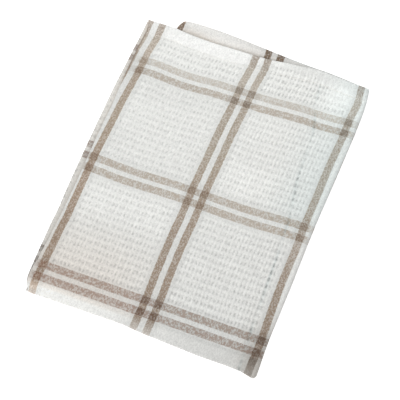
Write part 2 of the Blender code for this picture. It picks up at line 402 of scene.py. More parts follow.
across, right_turn, along, bottom_turn = lay_whole_sheet()
before_bottom_fold = bottom_turn < 0.5
layer = np.where(
    right_turn < 0.5, np.where(before_bottom_fold, 1, 2), np.where(before_bottom_fold, 4, 3))
print("the sheet has", across.shape, "rows and columns")


# %% [markdown]
# ## Fold the sheet
#
# A bend modifier could roll the sheet up, but it can't let each layer end at a place of
# its own. So every point is placed by a formula, and both folds are half circles. The
# bottom fold turns the cloth down, and the right fold turns the two layers under
# together, so the outer one has the larger radius. Where a layer ends under another, the
# upper one comes down softly. Near the bottom fold the pile is pressed flatter, so the
# cloth slopes down to it.

# %% Fold
FOLD_PRESSED_SHARE = 0.24      # of the pile's height
FOLD_PRESSED_WIDTH = 15.0


def of_layer(tables, position):
    """Read each layer's own table."""
    value = np.zeros_like(position)
    for number, table in tables.items():
        here = layer == number
        value[here] = read_table(table, position[here])
    return value


def unevenness(x, y):
    """Height of the soft waves."""
    total = 0.0
    for wave in WAVES:
        angle = 2 * math.pi * (x / wave["across"] + y / wave["along"])
        total = total + wave["height"] * np.sin(angle + math.radians(wave["phase"]))
    return total


def fall(x, y):
    """How far a layer comes down where the layers under it end."""
    edge_below = read_table(LEFT_EDGE_OF_LAYER[2], along)
    beside = ease((edge_below + LEFT_FALL_START - x) / LEFT_FALL_WIDTH)
    left_fall = 2 * LAYER_PITCH * beside * ease(along / LEFT_FALL_CLEAR_OF_FOLD)
    hem_fall = HEM_FALL * ease((y - HEM_FALL_START) / HEM_FALL_WIDTH)
    return np.select([layer == 1, layer == 4], [left_fall, 0.0], hem_fall)


left_edge = of_layer(LEFT_EDGE_OF_LAYER, along)
hem_edge = of_layer(HEM_OF_LAYER, across)
right_side = read_table(RIGHT_FOLD_OUTLINE, along) - RIGHT_FOLD_REACH
fold_line = read_table(BOTTOM_FOLD_OUTLINE, across) + BOTTOM_FOLD_REACH
plan_x = left_edge + (right_side - left_edge) * across
plan_y = fold_line + (hem_edge - fold_line) * along
from_hem = hem_edge - plan_y
hem = 1.0 - ease((from_hem - HEM_WIDTH) / HEM_EDGE_SOFTNESS + 0.5)

radius = RIGHT_FOLD_RADIUS + BOTTOM_FOLD_RADIUS * np.cos(np.pi * bottom_turn)
height = TOP_LAYER_HEIGHT / 2 + radius * np.cos(np.pi * right_turn)
round_corner = CORNER_ROUNDING * np.sin(np.pi * right_turn) ** CORNER_NARROWNESS
near_corner = np.maximum(0.0, 1.0 - (plan_y - fold_line) / CORNER_DEPTH) ** CORNER_FADE
x = plan_x + radius * np.sin(np.pi * right_turn)
y = plan_y + round_corner * near_corner - BOTTOM_FOLD_RADIUS * np.sin(np.pi * bottom_turn)
height = height + unevenness(x, y) * height / TOP_LAYER_HEIGHT - fall(x, y)
pressed = FOLD_PRESSED_SHARE * ease(1 - (plan_y - fold_line) / FOLD_PRESSED_WIDTH)
height = height * (1 - pressed)
height = height + np.where(layer == 4, hem * (HEM_THICKNESS - CLOTH_THICKNESS) / 2, 0.0)
height = height + CLOTH_THICKNESS / 2
print("folded cloth is", round(float(x.max() - x.min()), 1), "mm wide")


# %% [markdown]
# ## Where the pattern lies on each layer
#
# The pattern runs on around both folds. An automatic unwrap would cut the cloth into
# pieces and lose it. So its coordinates are worked out like the folds, and they grow by
# the length of cloth in each turn. Layers that are hidden only need it at the few
# millimetres that peep out: the end of layer 2 past the hem, and the left edge of layer 4.

# %% Pattern coordinates
BACK_STRIPES = {51.6: 13.25, 69.5: 31.0, 150.4: 118.0, 164.4: 131.25, 262.0: 229.0}     # layer 2, by X
UNDER_SHIFT = {8: 8.4, 131: 7.8, 248: 7.1}        # left edge of layer 4, by Y

weft_place, warp_place = place_in_pattern(plan_x, plan_y)
side = top_across.shape[1]
front = len(top_across)

# round the bottom fold and back along layer 2
round_bottom = np.pi * BOTTOM_FOLD_RADIUS * bottom_turn
fold_warp, fold_weft = warp_place[front - 1:front], weft_place[front - 1:front]
back_warp = fold_warp - round_bottom - (plan_y - plan_y[front - 1:front])
back_weft = fold_weft * (1 - along) + read_table(BACK_STRIPES, plan_x) * along
warp_place = np.where(bottom_turn > 0, back_warp, warp_place)
weft_place = np.where(bottom_turn > 0, back_weft, weft_place)

# round the right fold and back along layer 4
round_right = np.pi * radius * right_turn
side_warp, side_weft = warp_place[:, side - 1:side], weft_place[:, side - 1:side]
under_weft = side_weft + round_right + (plan_x[:, side - 1:side] - plan_x)
under_warp = side_warp * across + (plan_y - read_table(UNDER_SHIFT, plan_y)) * (1 - across)
under_warp = np.where(bottom_turn > 0, side_warp, under_warp)
weft_place = np.where(right_turn > 0, under_weft, weft_place)
warp_place = np.where(right_turn > 0, under_warp, warp_place)
print("flat cloth:", np.ptp(weft_place[:front]), "by", np.ptp(warp_place[:, :side]), "mm")

# %% [markdown]
# ## Waffle relief
#
# Raised threads run along the cloth, two to a cell, and a broader raised band crosses
# them once a cell. Between them the cloth sinks into small pits. The relief is less than
# a millimetre up or down. A bump map could suggest it, but would stay flat from the side,
# so the mesh itself carries it. It weakens in the hem, and it ends at the stripes, where
# the cloth is plain.

# %% Relief of the waffle
RIDGE_HEIGHT = 0.50
BAND_HEIGHT = 0.35
PIT_DEPTH = 0.70
RIDGE_HALF_WIDTH = 0.09        # as shares of a cell, like the next five
BAND_HALF_WIDTH = 0.17
PIT_COLUMNS = (0.25, 0.75)
PIT_MIDDLE = 0.38
PIT_HALF_WIDTH = 0.12
PIT_HALF_LENGTH = 0.26
SHORT_RIDGE_SHARE = 0.5        # how much lower the ridge between two pits is
CELL_UNEVENNESS = 0.25
UNEVEN_CELLS = 64              # rows and columns of cells before their unevenness repeats
HEM_WAFFLE_SHARE = 0.35        # of the relief that is left in the hem
# Width of the smooth part of the hem, by X: in the right half the rows show further up
SMOOTH_HEM_WIDTH = {20: 17.0, 60: 15.5, 80: 14.5, 125: 14.5, 150: 8.0, 165: 7.0, 190: 8.0,
                    205: 10.0, 225: 13.0, 250: 16.0}
SMOOTH_HEM_FADE = 3.0
FLATTENED_SHARE = 0.65         # of the relief, right of the old crease near the hem
FLATTENED_FROM = (213.0, 252.0)
FLATTENED_FADE = (6.0, 8.0)
NEARLY_NOTHING = 1e-6
chance = np.random.default_rng(7)


def place_in_cells(place, start, period, pitch, count):
    """Cell number, fraction in the cell, and a mask of the waffle square."""
    in_check = np.mod(place - start, period)
    cell = in_check / pitch
    inside = (cell <= count + NEARLY_NOTHING) * 1.0
    number = np.floor(cell + NEARLY_NOTHING)
    return number, cell - number, inside


def waffle_relief():
    """Height of the waffle at every point of layer 1, in mm."""
    row_place = np.where(warp_place < MIDDLE_PAIR, warp_place - LOW_ROWS_SHIFT, warp_place)
    column, across_cell, in_columns = place_in_cells(
        weft_place, SQUARE_LEFT, CHECK_ACROSS, WAFFLE_ACROSS, CELLS_ACROSS)
    row, along_cell, in_rows = place_in_cells(
        row_place, SQUARE_BOTTOM, CHECK_ALONG, WAFFLE_ALONG, CELLS_ALONG)
    beside_pits = hump(along_cell - PIT_MIDDLE, PIT_HALF_LENGTH)
    long_ridge = hump(np.minimum(across_cell, 1 - across_cell), RIDGE_HALF_WIDTH)
    short_ridge = hump(across_cell - 0.5, RIDGE_HALF_WIDTH)
    short_ridge = short_ridge * (1 - SHORT_RIDGE_SHARE * beside_pits)
    band = hump(np.minimum(along_cell, 1 - along_cell), BAND_HALF_WIDTH)
    pit = sum(hump(across_cell - middle, PIT_HALF_WIDTH) for middle in PIT_COLUMNS) * beside_pits
    raised = np.maximum(RIDGE_HEIGHT * (long_ridge + short_ridge), BAND_HEIGHT * band)

    strength = chance.uniform(
        1 - CELL_UNEVENNESS, 1 + CELL_UNEVENNESS, size=(UNEVEN_CELLS, UNEVEN_CELLS))
    cell_strength = strength[
        (row % UNEVEN_CELLS).astype(int), (column % UNEVEN_CELLS).astype(int)]
    woven = in_columns * in_rows * (weft_place > 0) * (warp_place > 0)
    return (raised - PIT_DEPTH * pit) * cell_strength * woven


smooth_width = read_table(SMOOTH_HEM_WIDTH, plan_x)
in_hem = 1.0 - ease((from_hem - smooth_width) / SMOOTH_HEM_FADE + 0.5)
flattened = FLATTENED_SHARE * ease((plan_x - FLATTENED_FROM[0]) / FLATTENED_FADE[0])
flattened = flattened * ease((plan_y - FLATTENED_FROM[1]) / FLATTENED_FADE[1])
relief = waffle_relief() * (1 - in_hem * (1 - HEM_WAFFLE_SHARE)) * (1 - flattened)
relief = np.where((layer == 1) & (right_turn == 0) & (bottom_turn == 0), relief, 0.0)
print("relief from", round(float(relief.min()), 2), "to", round(float(relief.max()), 2), "mm")

# %% [markdown]
# ## Crease and hem
#
# An old crease runs down the right part of the top layer, as a narrow trough. The hem is
# turned over, so it stands a little proud, and its seam pulls the cloth in and puckers
# it. These are placed from a table and a few waves, because they are what the eye finds
# first on an otherwise plain cloth.

# %% Crease, seam and puckers
OLD_CREASE = {13: 222.4, 123: 224.4, 147: 222.2, 171: 220.2, 222: 220.6, 255: 214.0, 273: 213.1}
CREASE_DEPTH = 0.40
CREASE_HALF_WIDTH = 1.7
CREASE_SLOPE = 0.35            # how far the cloth beyond it lies lower
CREASE_SLOPE_WIDTH = 12.0
CREASE_SLOPE_END = 30.0
CREASE_CLEAR_OF_FOLD = 25.0
SEAM_DEPTH = 0.35
SEAM_HALF_WIDTH = 1.3
PUCKER_HEIGHT = 0.16
PUCKER_HALF_WIDTH = 7.0
PUCKER_INSET = STITCH_INSET - 2.0
SHORT_PUCKERS = {"pace": 0.83, "wander": 2.1, "wander_pace": 0.11}      # paces in radians a millimetre
LONG_PUCKER_SHARE = 0.6
LONG_PUCKER_PACE = 0.47
LONG_PUCKER_START = 1.0
HEM_RISE_SHARE = 0.3           # of half the hem's extra thickness


def uneven_wave(place, pace, wander, wander_pace):
    """A wave whose pace wanders, so that it doesn't look regular."""
    return np.sin(place * pace + wander * np.sin(place * wander_pace))


crease_distance = plan_x - read_table(OLD_CREASE, plan_y)
crease = -CREASE_DEPTH * hump(crease_distance, CREASE_HALF_WIDTH)
beyond_crease = ease(crease_distance / CREASE_SLOPE_WIDTH)
beyond_crease = beyond_crease * ease((CREASE_SLOPE_END - crease_distance) / CREASE_SLOPE_END)
crease = crease - CREASE_SLOPE * beyond_crease
crease = crease * ease((plan_y - fold_line) / CREASE_CLEAR_OF_FOLD)

seam = -SEAM_DEPTH * hump(from_hem - STITCH_INSET, SEAM_HALF_WIDTH)
long_puckers = np.sin(plan_x * LONG_PUCKER_PACE + LONG_PUCKER_START)
puckers = uneven_wave(plan_x, **SHORT_PUCKERS) + LONG_PUCKER_SHARE * long_puckers
puckers = PUCKER_HEIGHT * puckers * hump(from_hem - PUCKER_INSET, PUCKER_HALF_WIDTH)
hem_rise = HEM_RISE_SHARE * (HEM_THICKNESS - CLOTH_THICKNESS) / 2 * hem
on_top = (layer == 1) & (right_turn == 0)
height = height + relief + np.where(on_top, crease + seam + puckers + hem_rise, 0.0)
print("crease and puckers from", round(float(crease.min()), 2), "to",
      round(float(puckers.max()), 2), "mm")

# %% [markdown]
# ## Thickness and edges
#
# The sheet is an open surface so far. Its second side could be placed point by point as
# well, but Solidify does that with one modifier. A vertex group tells it how thick the
# cloth is: full in the hem, less in the plain cloth, and thin at the last threads, so
# that the cut edges come out round.

# %% Thickness as a vertex group
EDGE_ROUNDING = 1.0
EDGE_THICKNESS_SHARE = 0.45

from_left = plan_x - left_edge
from_edge = np.minimum(from_left, from_hem)
rounded = EDGE_THICKNESS_SHARE + (1 - EDGE_THICKNESS_SHARE) * np.sqrt(
    np.clip(1 - (1 - np.clip(from_edge / EDGE_ROUNDING, 0, 1)) ** 2, 0, 1))
thickness = (CLOTH_THICKNESS + (HEM_THICKNESS - CLOTH_THICKNESS) * hem) * rounded
print("cloth from", round(float(thickness.min()), 2), "to", round(float(thickness.max()), 2), "mm")

# %% [markdown]
# ## Shade and crease line
#
# Just outside the top layer's edges the cloth below lies in half shade. The rim of the
# left edge darkens near the hem, and so does the lower right corner. The lamps alone
# leave these places too pale, and more lamps would change the rest of the cloth as well.
# So the shade is worked out from the distance to each edge and kept as an attribute of
# the mesh, which the finish paints into the colour later. The old crease gets painted
# shade too, as a thin broken dark line with a cool tint.

# %% Half shade and painted crease shade
END_SHADE = {0.0: 0.36, 0.25: 0.42, 0.45: 0.50, 0.55: 0.34, 0.62: 0.10, 1.0: 0.06}     # by place across
END_SHADE_WIDTH = 4.2
SIDE_SHADE = 0.50
SIDE_SHADE_WIDTH = 3.8
RIM_SHADE = {0.76: 0.0, 0.82: 0.70, 0.93: 0.75, 0.97: 0.35, 0.99: 0.0}     # by place along
RIM_SHADE_WIDTH = 1.2
CORNER_SHADE = {"x": 242.0, "y": -14.0, "width": 20.0, "length": 34.0, "share": 0.40}
CREASE_LINE_HALF_WIDTH = 1.3
CREASE_LINE_INSET = 6.0        # from the hem's edge, and the length over which it fades in
CREASE_LINE_FADE = 10.0
CREASE_LINE_LEVEL = 0.6        # in the middle between its strong and weak stretches
CREASE_LINE_BREAKS = {"pace": 0.12, "wander": 1.5, "wander_pace": 0.05}

beyond_hem = np.clip(y - read_table(HEM_OF_LAYER[1], across), 0.0, None)
beside_edge = np.clip(read_table(LEFT_EDGE_OF_LAYER[1], along) - x, 0.0, None)
inside_edge = np.clip(x - read_table(LEFT_EDGE_OF_LAYER[1], along), 0.0, None)
end_shade = read_table(END_SHADE, across) * np.exp(-beyond_hem / END_SHADE_WIDTH)
side_shade = SIDE_SHADE * np.exp(-beside_edge / SIDE_SHADE_WIDTH)
rim_shade = read_table(RIM_SHADE, along) * np.exp(-inside_edge / RIM_SHADE_WIDTH)
edge_shade = np.select(
    [layer == 1, layer == 2, layer == 4], [rim_shade, end_shade, side_shade], 0.0)
corner_shade = CORNER_SHADE["share"] * hump(x - CORNER_SHADE["x"], CORNER_SHADE["width"])
corner_shade = corner_shade * hump(y - CORNER_SHADE["y"], CORNER_SHADE["length"])
shade = np.maximum(edge_shade, corner_shade)

# Painted shade along the old crease: a thin broken dark line
crease_shade_line = hump(crease_distance, CREASE_LINE_HALF_WIDTH) * on_top
crease_shade_line = crease_shade_line * ease((from_hem - CREASE_LINE_INSET) / CREASE_LINE_FADE)
breaks = (1 - CREASE_LINE_LEVEL) * uneven_wave(plan_y, **CREASE_LINE_BREAKS)
crease_shade_line = crease_shade_line * (CREASE_LINE_LEVEL + breaks)
print("deepest half shade", round(float(shade.max()), 2))

# %% [markdown]
# ## The sheet as a mesh
#
# Now every point has its place, so one grid takes them all. Such a grid could be written
# out as lists of points and faces. `create_grid` already gives faces in order, so only
# the points are moved. The pattern's coordinates become the `weave` map, the thickness a
# vertex group, and the half shade, the crease's painted shade line and the smooth hem
# become attributes.

# %% Make the sheet
def make_sheet(name):
    """The folded open surface, with its weave map and thickness group."""
    rows, columns = across.shape
    grid = bmesh.new()
    bmesh.ops.create_grid(grid, x_segments=columns - 1, y_segments=rows - 1, size=1.0)
    mesh = bpy.data.meshes.new(name)
    grid.to_mesh(mesh)
    grid.free()

    flat = np.zeros(len(mesh.vertices) * 3)
    mesh.vertices.foreach_get("co", flat)
    flat = flat.reshape(-1, 3)
    column = np.rint((flat[:, 0] + 1) / 2 * (columns - 1)).astype(int)
    row = np.rint((1 - flat[:, 1]) / 2 * (rows - 1)).astype(int)
    places = np.stack([x[row, column], y[row, column], height[row, column]], axis=1) * MM
    mesh.vertices.foreach_set("co", places.ravel())

    weave = mesh.uv_layers.new(name="weave")
    corner = np.zeros(len(mesh.loops), dtype=np.int32)
    mesh.loops.foreach_get("vertex_index", corner)
    corner_row, corner_column = row[corner], column[corner]
    flat_places = np.stack(
        [weft_place[corner_row, corner_column], warp_place[corner_row, corner_column]], axis=1)
    weave.uv.foreach_set("vector", (flat_places * MM).ravel())

    looks = {"smooth_hem": in_hem, "half_shade": shade, "crease_shade_line": crease_shade_line}
    for title, values in looks.items():
        attribute = mesh.attributes.new(title, "FLOAT", "POINT")
        attribute.data.foreach_set("value", values[row, column].astype(np.float32))

    sheet = bpy.data.objects.new(name, mesh)
    group = sheet.vertex_groups.new(name="thickness")
    share = thickness[row, column] / HEM_THICKNESS
    for index, weight in enumerate(share):
        group.add([index], float(weight), "REPLACE")
    bpy.context.scene.collection.objects.link(sheet)
    return sheet


def move_into_box(sheet):
    """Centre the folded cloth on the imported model's cloth, standing on the same plane."""
    places = np.zeros(len(sheet.data.vertices) * 3)
    sheet.data.vertices.foreach_get("co", places)
    places = places.reshape(-1, 3)
    low, high = (np.array(corner) for corner in NODE_BOX)
    move = (low + high) / 2 - (places.min(axis=0) + places.max(axis=0)) / 2
    move[2] = low[2]
    places += move
    sheet.data.vertices.foreach_set("co", places.ravel())
    return move


towel = make_sheet("folded_towel")
TABLE_TO_MODEL = move_into_box(towel)
print("moved by", TABLE_TO_MODEL / MM, "mm;", len(towel.data.polygons), "faces in the open sheet")

# %% Give the cloth its thickness
solidify = towel.modifiers.new("cloth_thickness", "SOLIDIFY")
solidify.thickness = HEM_THICKNESS * MM
solidify.offset = 0.0
solidify.vertex_group = "thickness"
solidify.thickness_vertex_group = 0.0
solidify.material_offset = 1
towel.data.shade_smooth()
print("modifiers on the towel:", [modifier.name for modifier in towel.modifiers])

# %% [markdown]
# ## Nodes as sums
#
# The finishes and the stitches are both made of nodes. A tree with hundreds of nodes is
# hard to read when every link has a line of its own, so the small class below wraps a
# socket. `1 - mask` adds the Math node, `steps` eases from one value to another, and
# `through` follows a short table of places and values, easing from row to row.

# %% A socket that can do sums
class Wire:
    """An output socket. Sums on it add Math nodes."""

    def __init__(self, tree, socket):
        self.tree = tree
        self.socket = socket

    def node(self, kind, settings=None, inputs=None, output=0):
        """Add any node, with its settings first and then its inputs."""
        return add_node(self.tree, kind, settings, inputs, output)

    def other(self, name):
        """Another output of the same node."""
        return Wire(self.tree, self.socket.node.outputs[name])

    def sum(self, operation, *values):
        """One Math node, with its values in order."""
        return self.node("ShaderNodeMath", {"operation": operation}, dict(enumerate(values)))

    def __add__(self, other):
        return self.sum("ADD", self, other)

    def __sub__(self, other):
        return self.sum("SUBTRACT", self, other)

    def __rsub__(self, other):
        return self.sum("SUBTRACT", other, self)

    def __mul__(self, other):
        return self.sum("MULTIPLY", self, other)

    def __truediv__(self, other):
        return self.sum("DIVIDE", self, other)

    __radd__ = __add__
    __rmul__ = __mul__

    def __abs__(self):
        return self.sum("ABSOLUTE", self)

    def wrapped(self, low, high):
        """Start again at the low value after each high one."""
        return self.sum("WRAP", self, high, low)

    def fraction(self):
        return self.sum("FRACT", self)

    def floor(self):
        return self.sum("FLOOR", self)

    def steps(self, low, high, to_low=0.0, to_high=1.0):
        """Ease from one value to another while this goes from low to high."""
        return self.node("ShaderNodeMapRange", {"interpolation_type": "SMOOTHSTEP"},
                         {"Value": self, "From Min": low, "From Max": high,
                          "To Min": to_low, "To Max": to_high})

    def through(self, table):
        """Follow a table of places and values, easing from row to row."""
        rows = sorted(table.items())
        (start, first), (end, second) = rows[:2]
        value = self.steps(start, end, first, second)
        for (start, first), (end, second) in zip(rows[1:], rows[2:]):
            if first != second:
                value = value + self.steps(start, end, 0.0, second - first)
        return value


def add_node(tree, kind, settings=None, inputs=None, output=0):
    """One way to add a node: its kind, its settings, and the values or links of its sockets."""
    node = tree.nodes.new(kind)
    for key, value in (settings or {}).items():
        setattr(node, key, value)
    for key, value in (inputs or {}).items():
        if isinstance(value, Wire):
            tree.links.new(value.socket, node.inputs[key])
        else:
            node.inputs[key].default_value = value
    return Wire(tree, node.outputs[output]) if len(node.outputs) else node


# %% Colours and finishes
def mixed(first, second, share=1.0, blend="MIX"):
    """Mix two colours. Each of the three may be a wire or a value."""
    wire = next(value for value in (share, first, second) if isinstance(value, Wire))
    return wire.node("ShaderNodeMix", {"data_type": "RGBA", "blend_type": blend},
                     {0: share, 6: first, 7: second}, output=2)


def by_table(share, table):
    """Colour read from a table with a ramp."""
    colour = share.node("ShaderNodeValToRGB", None, {0: share})
    ramp = colour.socket.node.color_ramp
    while len(ramp.elements) < len(table):
        ramp.elements.new(0.5)
    for element, (position, value) in zip(ramp.elements, sorted(table.items())):
        element.position = position
        element.color = value
    return colour


def bumped(height, strength, distance):
    """Bump from a height; the distance is in metres."""
    return height.node("ShaderNodeBump", None,
                       {"Strength": strength, "Distance": distance, "Height": height})


def new_finish(name, constants):
    """A new material, and its shader with what stays the same all over it."""
    material = bpy.data.materials.new(name)
    material.use_nodes = True
    shader = material.node_tree.nodes["Principled BSDF"]
    for title, value in constants.items():
        shader.inputs[title].default_value = value
    return material, shader


# %% [markdown]
# ## The finish of the cotton
#
# Cotton looks matt, but light still glances off it. So the colour is a product of two
# stripe factors, one across and one along. A painted image could carry the check as
# well, but nodes stay sharp however close the camera comes, and each number in them
# can be changed later.
#
# Everything reads the `weave` map, which follows the cloth round its folds. The wires
# of one material are kept in a dictionary, `cloth`, so that each step below can be a
# short function that reads what it needs.

# %% Places on the cloth
# The painted crease shade, by the place along the cloth
CREASE_LINE_ALONG = {235.0: 1.0, 258.0: 0.5}      # fainter near the hem


def places_on_cloth(tree):
    """Where a point lies on the flat cloth in mm, and what the mesh says about it."""
    weave = add_node(tree, "ShaderNodeUVMap", {"uv_map": "weave"})
    flat = weave.node("ShaderNodeVectorMath", {"operation": "SCALE"}, {0: weave, "Scale": 1 / MM})
    across = flat.node("ShaderNodeSeparateXYZ", None, {0: flat})
    cloth = {"flat": flat, "across": across, "along": across.other("Y")}
    for title in ("smooth_hem", "half_shade", "crease_shade_line"):
        cloth[title] = add_node(tree, "ShaderNodeAttribute", {"attribute_name": title}, output=2)
    cloth["crease_shade_line"] = cloth["crease_shade_line"] * cloth["along"].through(CREASE_LINE_ALONG)
    return cloth


def noise(cloth, scale, detail=2.0, stretch=(1.0, 1.0, 1.0)):
    """Noise from 0 to 1 on the flat cloth; a larger scale is finer."""
    flat = cloth["flat"]
    stretched = flat.node("ShaderNodeVectorMath", {"operation": "MULTIPLY"}, {0: flat, 1: stretch})
    return flat.node("ShaderNodeTexNoise", None,
                     {"Vector": stretched, "Scale": scale, "Detail": detail})


def swing(cloth, amount, scale, detail=2.0, stretch=(1.0, 1.0, 1.0)):
    """Noise that swings around 0, by half the amount to both sides."""
    return (noise(cloth, scale, detail, stretch) - 0.5) * amount


# %% [markdown]
# ### Patches
#
# A towel that has been washed and folded isn't the same all over. The hem is brighter at
# one end, the squares differ by a few per cent, and a stripe is stronger in one place than
# in another. Some patches are painted light and shade instead, such as the brighter margin
# low on the left and the strength of the painted pit shade. Noise would put such changes
# anywhere, so they are soft patches with a place.
# Each one is a row with a table across the cloth, a table along it, or both. The tables
# are multiplied, and the result is a share by which something grows or shrinks there.

# %% Soft patches from tables
def patch(cloth, row):
    """The share of one patch: its tables across and along the cloth, multiplied."""
    shares = [cloth[way].through(table) for way, table in row.items()]
    return math.prod(shares[1:], start=shares[0])


def patched(value, cloth, rows, where=None):
    """Let a value grow or shrink in each patch, all over the cloth or only somewhere."""
    for row in rows:
        share = patch(cloth, row)
        if where is not None:
            share = share * where
        value = value * (1.0 + share)
    return value


# %% [markdown]
# ### Threads and stripes
#
# A stripe is a whole number of yarns and each yarn wanders, so its borders are slightly
# ragged. Brown and white threads cross in it, which gives a speckle: short rungs in the
# stripes along the cloth, upright strokes in those across it. Noise alone would give
# round specks. So every thread gets a number, and reads the noise in a row of its own.

# %% Threads that show and hide
THREAD_PITCH = 1.05            # mm
WARP_FLOAT = 2.6               # mm, about the length over which a thread shows or hides
WEFT_FLOAT = 1.7
THREAD_SPREAD = 7.31           # so that neighbours don't look alike
THREAD_SHOWS = {0.34: 0.12, 0.66: 1.12}      # by noise
THREAD_ROUNDING = 0.5          # how much less of it shows towards its sides
print("a stripe is about", round(STRIPE_WIDTH / THREAD_PITCH), "threads wide")


def thread_floats(thread_place, run_place, float_length):
    """Threads side by side: each shows and hides in soft lengths, roughly from 0 to 1."""
    thread = (thread_place / THREAD_PITCH).floor()
    place = {0: thread * THREAD_SPREAD, 1: run_place / float_length}
    along_thread = thread.node("ShaderNodeCombineXYZ", None, place)
    shown = thread.node("ShaderNodeTexNoise", {"noise_dimensions": "2D"},
                        {"Vector": along_thread, "Scale": 1.0, "Detail": 1.0})
    from_thread = abs((thread_place / THREAD_PITCH).fraction() - 0.5)
    return shown.through(THREAD_SHOWS) - from_thread * THREAD_ROUNDING


# %% Where the stripes lie
STRIPE_SOFTNESS = 0.4          # mm to both sides of its border
BESIDE_STRIPE = (2.5, 6.0)     # mm from the border: where the cloth begins to clear, and is clear
WANDER = {"amount": 0.9, "scale": 0.12}                           # mm, in slow waves
YARN_WANDER = {"amount": 1.1, "scale": 1.0, "detail": 1.0}        # mm, of single yarns
WEFT_STRETCH = (1.2, 0.30, 1.0)
WARP_STRETCH = (0.30, 1.2, 1.0)
# The outermost stripes lie a little nearer the edges, which round down
OUTER_STRIPE_SHIFT = {4.0: 0.9, 7.0: 0.0, 241.0: 0.0, 244.0: -1.7, 256.0: -1.7, 262.0: 0.0}


def stripe_masks(place, pair, period, wander):
    """Soft masks, repeated over the cloth: both stripes of a pair, and the cloth beside them."""
    middle = pair / 2
    half = STRIPE_WIDTH / 2
    from_middle = abs((place + wander - middle).wrapped(-period / 2, period / 2))
    from_stripe = abs(from_middle - middle)
    stripes = from_stripe.steps(half - STRIPE_SOFTNESS, half + STRIPE_SOFTNESS, 1.0, 0.0)
    beside = from_stripe.steps(half + BESIDE_STRIPE[0], half + BESIDE_STRIPE[1], 1.0, 0.0)
    return stripes, beside


def lay_check(cloth):
    """Add the threads, and the masks of the stripes, to the wires of the cloth."""
    across, along = cloth["across"], cloth["along"]
    wander = swing(cloth, **WANDER)
    weft_wander = wander + swing(cloth, **YARN_WANDER, stretch=WEFT_STRETCH)
    warp_wander = wander + swing(cloth, **YARN_WANDER, stretch=WARP_STRETCH)
    warp_wander = warp_wander + across.through(OUTER_STRIPE_SHIFT)
    cloth["warp_stripe"], cloth["beside_warp"] = stripe_masks(
        across, PAIR_ACROSS, CHECK_ACROSS, warp_wander)
    cloth["weft_stripe"], cloth["beside_weft"] = stripe_masks(
        along, PAIR_ALONG, CHECK_ALONG, weft_wander)
    cloth["warp_threads"] = thread_floats(across, along, WARP_FLOAT)
    cloth["weft_threads"] = thread_floats(along, across, WEFT_FLOAT)


# %% [markdown]
# ### Plain cloth
#
# The plain cloth isn't one white either. The hem is smooth and brightest, partly from a
# painted sheen, the sunk spots of the waffle keep some painted shade, and the narrow strips
# inside each pair of stripes pick up a little of their brown. The mesh already has the
# pits, but lamps hardly darken so shallow a relief. Deeper pits would look coarse from the
# side, so the finish paints shade into the pits and a little light onto the ridges.

# %% Tone of the waffle
PAINTED_PIT_SHADE = 0.84                # painted shade in the waffle's pits, painted light on its raised threads
PAINTED_RIDGE_LIGHT = 1.03
SHORT_RIDGE_DIP = 0.45         # how much fainter the ridge between two pits is
# By the distance from the middle of the pit, and from the middle of the cell, in cells
PIT_ROWS = {0.10: 1.0, 0.46: 0.0}
SHORT_RIDGE = {0.03: 1.0, 0.17: 0.0}
LONG_RIDGE = {0.33: 0.0, 0.47: 1.0}
SQUARE_SOFTNESS = 0.1
ROW_SHIFT = {MIDDLE_PAIR: -LOW_ROWS_SHIFT, MIDDLE_PAIR + 1.0: 0.0}      # along the cloth
FIRST_ROW = {0.0: 0.0, 2.0: 1.0}
PIT_MOTTLE_SCALE = 0.35
PIT_MOTTLE = {0.32: 0.15, 0.66: 1.60}      # painted pit shade, strong in some pits and nearly none in others, by noise
# Strength of the painted pit shade along the cloth, stronger low down
PIT_SHADE_ALONG = {40.0: 1.15, 200.0: 0.95}
CREASE_EXTRA_PIT_SHADE = 0.8            # how much darker the painted pit shade is in the old crease
# Where the painted pit shade is stronger or weaker
PIT_SHADE_PATCHES = (
    {"across": {60.0: 0.15, 155.0: 0.5}, "along": {250.0: 0.0, 256.0: 1.0}},
    {"across": {200.0: 0.0, 208.0: -0.7}, "along": {258.0: 0.0, 266.0: 1.0}},
)


def waffle_place(place, start, period, pitch, count):
    """Fraction in the waffle cell, and a mask of the waffle squares."""
    cell = (place - start).wrapped(0.0, period) / pitch
    inside = cell.steps(count - SQUARE_SOFTNESS, count + SQUARE_SOFTNESS, 1.0, 0.0)
    return cell.fraction(), inside


def painted_waffle_shade(cloth):
    """Painted shade in the pits and painted light on the ridges, with a mask of the rows that have the
    pits.
    """
    across, along = cloth["across"], cloth["along"]
    row_place = along + along.through(ROW_SHIFT)
    across_cell, in_columns = waffle_place(
        across, SQUARE_LEFT, CHECK_ACROSS, WAFFLE_ACROSS, CELLS_ACROSS)
    along_cell, in_rows = waffle_place(
        row_place, SQUARE_BOTTOM, CHECK_ALONG, WAFFLE_ALONG, CELLS_ALONG)
    in_square = in_columns * in_rows * along.through(FIRST_ROW) * (1.0 - cloth["smooth_hem"])

    pit_rows = abs(along_cell - PIT_MIDDLE).through(PIT_ROWS)
    from_middle = abs(across_cell - 0.5)
    short_ridge = from_middle.through(SHORT_RIDGE) * (1.0 - pit_rows * SHORT_RIDGE_DIP)
    ridge = from_middle.through(LONG_RIDGE) + short_ridge
    pits = (1.0 - ridge) * pit_rows * noise(cloth, PIT_MOTTLE_SCALE).through(PIT_MOTTLE)
    depth = along.through(PIT_SHADE_ALONG) * (cloth["crease_shade_line"] * CREASE_EXTRA_PIT_SHADE + 1.0)
    depth = patched(depth, cloth, PIT_SHADE_PATCHES)
    # Painted shade in the pits, painted light on the ridges
    contrast = pits * (1.0 - PAINTED_PIT_SHADE) - ridge * (PAINTED_RIDGE_LIGHT - 1.0)
    return 1.0 - in_square * depth * contrast, pit_rows


